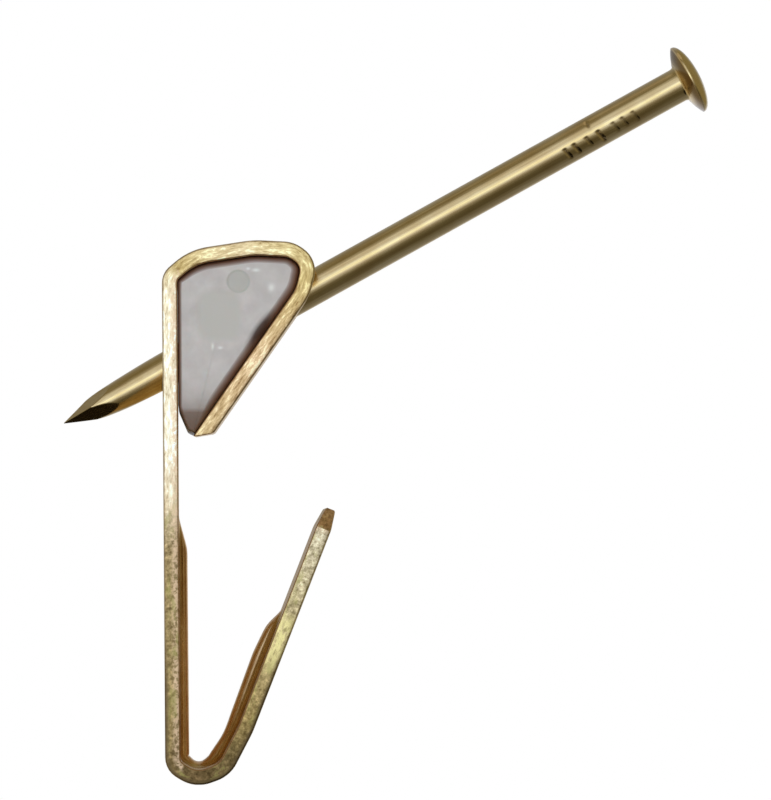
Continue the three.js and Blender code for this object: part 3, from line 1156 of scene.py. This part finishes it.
# %% The band of light round the nail
tent_stops = [
    (-180, 0.85, 0.3),
    (-165, 0.90, 0.3),
    (-148, 0.48, 0.2),
    (-125, 0.27, 0.0),
    (-100, 0.21, 0.0),
    (-82, 0.14, -0.7),
    (-62, 0.088, -1.3),
    (-42, 0.105, -1.3),
    (-27, 0.20, -0.7),
    (-15, 0.46, 0.0),
    (-5, 1.02, 0.7),
    (4, 1.62, 1.0),
    (12, 1.50, 1.0),
    (20, 1.04, 0.7),
    (29, 0.74, 0.3),
    (43, 0.80, 0.3),
    (54, 0.44, -0.2),
    (66, 0.22, -1.2),
    (84, 0.19, -1.4),
    (104, 0.24, -0.8),
    (125, 0.29, -0.1),
    (148, 0.44, 0.2),
    (165, 0.38, 0.0),
    (180, 0.50, 0.0),
]
brightest = max(level for degrees, level, tint in tent_stops)
red_per_tint = -0.10
blue_per_tint = 0.28


def tent_color(level, tint):
    """The light's colour as a share of the brightest level."""
    color = (1 + red_per_tint * tint, 1.0, 1 + blue_per_tint * tint)
    return tuple(min(level * part / brightest, 1.0) for part in color)


band_stops = [((degrees + 180) / 360, tent_color(level, tint)) for degrees, level, tint in tent_stops]
light = sky.ramp(share_of_turn, *band_stops)
print("stops in the light band:", len(tent_stops))

# %% [markdown]
# The band alone would light both ends of the nail as brightly as its sides. The room is warm and
# dimmer beyond both ends, with a small panel straight overhead and a table's dark edge below the
# point. Each is a soft round patch that hides a share of the light behind it.

# %% Dim and dark parts of the room
def covered(light, direction, low, high, color):
    """The light, hidden behind a patch of that colour in one direction."""
    return sky.mix(sky.between(toward(direction), low, high), light, color)


overhead = (-0.1, 0, 0.995)
table_edge = Vector((0.01, -0.31, -0.95)).normalized()
patches = [
    (along_nail, 0.28, 0.58, (0.17, 0.15, 0.085)),
    (-along_nail, 0.46, 0.8, (0.30, 0.27, 0.20)),
    (overhead, 0.93, 0.98, (0.32, 0.28, 0.23)),
    (table_edge, 0.914, 0.966, (0.006, 0.004, 0.002)),
]
for patch in patches:
    light = covered(light, *patch)
tent = sky.add("ShaderNodeBackground", {"Color": light, "Strength": brightest})
print("patches over the band:", len(patches))

# %% [markdown]
# Behind the hook there is plain white. Only the camera sees it: everything that the metal
# reflects still comes from the band.

# %% White backdrop
backdrop = sky.add("ShaderNodeBackground", {"Color": (1, 1, 1, 1), "Strength": 1.0})
by_camera = sky.add("ShaderNodeLightPath").outputs["Is Camera Ray"]
seen = {0: by_camera, 1: tent.outputs[0], 2: backdrop.outputs[0]}
seen = sky.add("ShaderNodeMixShader", seen).outputs[0]
sky.add("ShaderNodeOutputWorld", {"Surface": seen})
print("nodes in the surroundings:", len(sky.tree.nodes))

# %% [markdown]
# ## A soft front light
#
# The surroundings are tuned for metal and leave the milky nylon too grey. One large soft lamp
# beside the viewer lifts everything matte. It is left out of glossy reflections, so the metal keeps
# its bands.

# %% Front lamp
lamp_data = bpy.data.lights.new("front_lamp", "AREA")
lamp_data.shape = "DISK"
lamp_data.size = 0.18
lamp_data.energy = 0.23
lamp = bpy.data.objects.new("front_lamp", lamp_data)
bpy.context.scene.collection.objects.link(lamp)
lamp.location = Vector((40, -300, 60)) * MM
lamp.rotation_euler = (-lamp.location).to_track_quat("-Z", "Y").to_euler()
lamp.visible_glossy = False
print("front lamp, mm from the nail's entry:", round(lamp.location.length / MM))

# %% [markdown]
# ## Floor
#
# A picture hook hangs on a wall, so the pale floor lies well below it. It is a shallow round dish
# that only shows in the higher views. Its glossy reflection is turned off, because the dark table
# below belongs to the light.

# %% A pale floor below
floor_drop = 38
floor_radius = 500
floor_rim = 12
floor_lip = 30
floor_thickness = 2
floor_sides = 96
floor_level = strap_low.z - floor_drop
floor_rings = [
    [
        (radius * math.cos(a), radius * math.sin(a), floor_level + rise)
        for a in np.linspace(0, 2 * math.pi, floor_sides, endpoint=False)
    ]
    for radius, rise in (
        (floor_radius, -floor_thickness),
        (floor_radius, floor_rim),
        (floor_radius - floor_lip, 0),
    )
]
floor = skin("floor", floor_rings)
matte = Finish("floor_paper")
fibres = matte.noise(matte.stretched((0.15, 0.15, 0.15)), detail=3)
paper = matte.ramp(fibres, (0.3, (0.86, 0.86, 0.86)), (0.7, (0.9, 0.9, 0.9)))
floor.data.materials.append(matte.finish(paper, 0.8, matte.height(fibres, 0.1, 0.1), metallic=0.0))
floor.visible_glossy = False
print("floor at", round(floor_level, 1), "mm")

# %% [markdown]
# ## Camera
#
# The hook is seen edge on from a little below its nail, through a long lens, so the far edge hides
# almost exactly behind the near one. A short lens close by would fan the broad faces out. The
# camera is rolled by less than half a degree.

# %% Camera
camera_data = bpy.data.cameras.new("camera")
camera = bpy.data.objects.new("camera", camera_data)
bpy.context.scene.collection.objects.link(camera)
bpy.context.scene.camera = camera
camera_place = Vector((1.60, -320, -9.69)) * MM
camera_aim = Vector((11.75, 0, -1.59)) * MM
camera_roll = math.radians(0.44)
sight = (camera_aim - camera_place).normalized()
right = sight.cross(Vector((0, 0, 1))).normalized()
up = right.cross(sight)
rolled_up = up * math.cos(camera_roll) + right * math.sin(camera_roll)
rolled_right = sight.cross(rolled_up)
turned = Matrix((rolled_right, rolled_up, -sight)).transposed().to_4x4()
camera.matrix_world = Matrix.Translation(camera_place) @ turned
camera_data.lens = 272.56
camera_data.sensor_width = 36
camera_data.clip_start = 0.01
camera_data.clip_end = 10
bpy.context.scene.view_settings.view_transform = "Standard"
print("camera distance, mm:", round((camera_place - camera_aim).length * 1000))

# %% [markdown]
